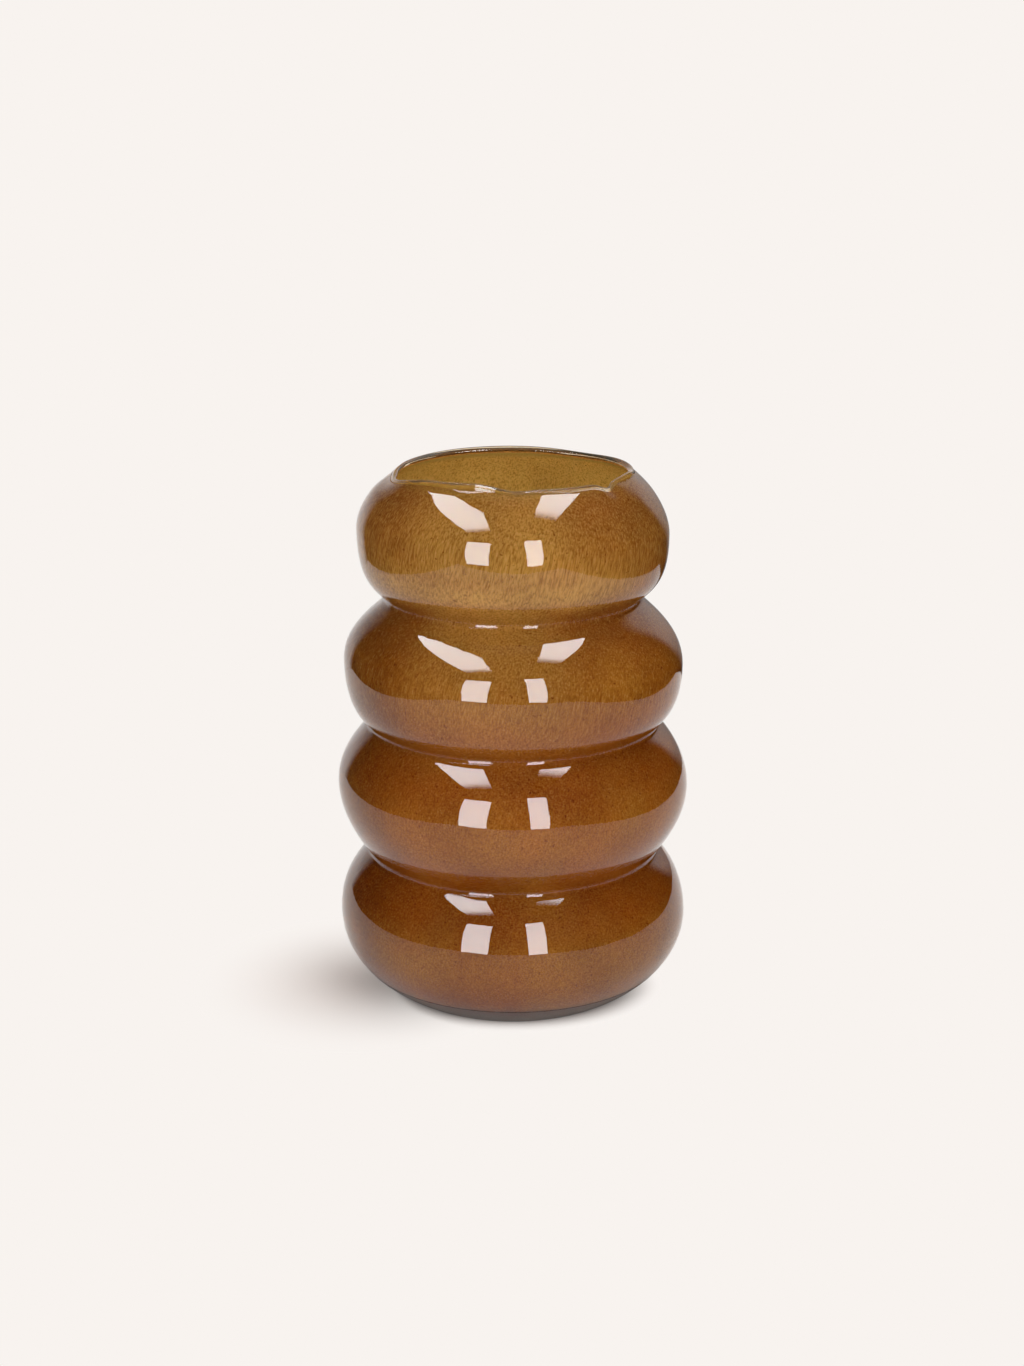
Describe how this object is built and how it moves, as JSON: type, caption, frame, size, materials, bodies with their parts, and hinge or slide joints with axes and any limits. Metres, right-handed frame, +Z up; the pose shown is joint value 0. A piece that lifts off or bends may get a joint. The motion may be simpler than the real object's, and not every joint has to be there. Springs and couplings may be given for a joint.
{
  "type": "glass lantern vase",
  "caption": "Hand-blown glass lantern vase of stacked rounded bulbs: amber glass cased in clear glass, with a thick clear foot and an open mouth with a wavy fire-polished lip.",
  "frame": {"origin": "middle of the flat resting face under the foot", "axes": "+Z up along the vase's axis, through the mouth; -Y to the front, +X to the right seen from the front"},
  "size_m": [0.19, 0.19, 0.2954],
  "materials": {
    "clear_glass": "clear, fire-polished gloss",
    "amber_glass": "speckled translucent amber, gloss on the inside"
  },
  "bodies": {
    "root": {"bottom_bulb": "clear_glass", "lower_bulb": "clear_glass", "upper_bulb": "clear_glass", "top_bulb": "clear_glass", "amber_layer": "amber_glass", "clear_foot": "clear_glass", "rim_lip": "clear_glass"}
  },
  "joints": []
}
